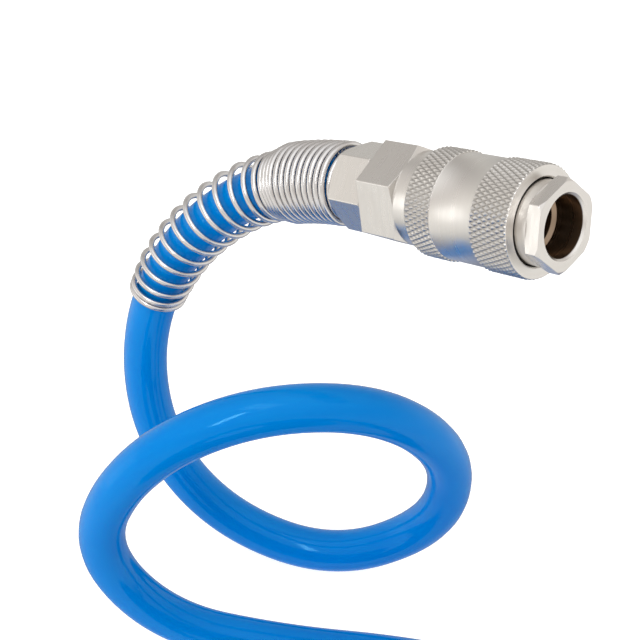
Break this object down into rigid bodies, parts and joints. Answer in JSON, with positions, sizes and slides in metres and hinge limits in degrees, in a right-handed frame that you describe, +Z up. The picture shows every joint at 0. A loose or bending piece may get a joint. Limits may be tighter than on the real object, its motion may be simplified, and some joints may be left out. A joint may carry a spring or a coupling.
{
  "type": "coiled air hose",
  "caption": "Recoil air hose: pre-formed blue polyurethane coil with a quick-release socket on one end, a plug on the other, and a wire spring bend guard behind each.",
  "frame": {"origin": "middle of the footprint on the floor, at floor level", "axes": "+Z up; the closed coil's axis runs along Y; the raised socket is at the +Y end and points to +X and -Y"},
  "size_m": [0.1451, 0.3184, 0.1647],
  "materials": {
    "nickel_plate": "satin nickel plate",
    "spring_steel": "satin zinc-plated wire",
    "ball_steel": "polished",
    "brass": "satin",
    "rubber": "matte",
    "blue_polyurethane": "gloss, slightly translucent"
  },
  "bodies": {
    "hose": {"nose_tube": "nickel_plate", "stop_ring": "spring_steel", "plug_seal": "rubber", "valve_guide": "brass", "body": "nickel_plate", "body_seal": "rubber", "socket_nut": "nickel_plate", "socket_bend_guard": "spring_steel", "hose_lead": "blue_polyurethane", "hose_coil": "blue_polyurethane", "hose_tail": "blue_polyurethane", "plug_bend_guard": "spring_steel", "plug_nut": "nickel_plate", "plug": "nickel_plate", "sleeve_spring": "spring_steel", "valve_spring": "spring_steel"},
    "sleeve": {"sleeve": "nickel_plate"},
    "valve": {"valve_poppet": "brass", "valve_seal": "rubber"},
    "lock_ball_1": {"lock_ball_1": "ball_steel"},
    "lock_ball_2": {"lock_ball_2": "ball_steel"},
    "lock_ball_3": {"lock_ball_3": "ball_steel"},
    "lock_ball_4": {"lock_ball_4": "ball_steel"},
    "lock_ball_5": {"lock_ball_5": "ball_steel"},
    "lock_ball_6": {"lock_ball_6": "ball_steel"}
  },
  "joints": [
    {"name": "sleeve_slide", "type": "slide", "parent": "hose", "child": "sleeve", "axis": [-0.6899, 0.6099, -0.3899], "range_m": [0, 0.0042], "stiffness_N_per_m": 3000, "springref_m": -0.004, "deforming": ["sleeve_spring"]},
    {"name": "valve_slide", "type": "slide", "parent": "hose", "child": "valve", "axis": [-0.6899, 0.6099, -0.3899], "range_m": [0, 0.0025], "stiffness_N_per_m": 900, "springref_m": -0.003, "deforming": ["valve_spring"]},
    {"name": "lock_ball_1_slide", "type": "slide", "parent": "hose", "child": "lock_ball_1", "axis": [0.2979, 0.7301, 0.615], "range_m": [0, 0.0008]},
    {"name": "lock_ball_2_slide", "type": "slide", "parent": "hose", "child": "lock_ball_2", "axis": [-0.4224, 0.0982, 0.901], "range_m": [0, 0.0008]},
    {"name": "lock_ball_3_slide", "type": "slide", "parent": "hose", "child": "lock_ball_3", "axis": [-0.7203, -0.6319, 0.2861], "range_m": [0, 0.0008]},
    {"name": "lock_ball_4_slide", "type": "slide", "parent": "hose", "child": "lock_ball_4", "axis": [-0.2979, -0.7301, -0.615], "range_m": [0, 0.0008]},
    {"name": "lock_ball_5_slide", "type": "slide", "parent": "hose", "child": "lock_ball_5", "axis": [0.4224, -0.0982, -0.901], "range_m": [0, 0.0008]},
    {"name": "lock_ball_6_slide", "type": "slide", "parent": "hose", "child": "lock_ball_6", "axis": [0.7203, 0.6319, -0.2861], "range_m": [0, 0.0008]}
  ],
  "couplings": [
    {"joint": "lock_ball_1_slide", "follows": "sleeve_slide", "ratio": 0.19},
    {"joint": "lock_ball_2_slide", "follows": "sleeve_slide", "ratio": 0.19},
    {"joint": "lock_ball_3_slide", "follows": "sleeve_slide", "ratio": 0.19},
    {"joint": "lock_ball_4_slide", "follows": "sleeve_slide", "ratio": 0.19},
    {"joint": "lock_ball_5_slide", "follows": "sleeve_slide", "ratio": 0.19},
    {"joint": "lock_ball_6_slide", "follows": "sleeve_slide", "ratio": 0.19}
  ]
}
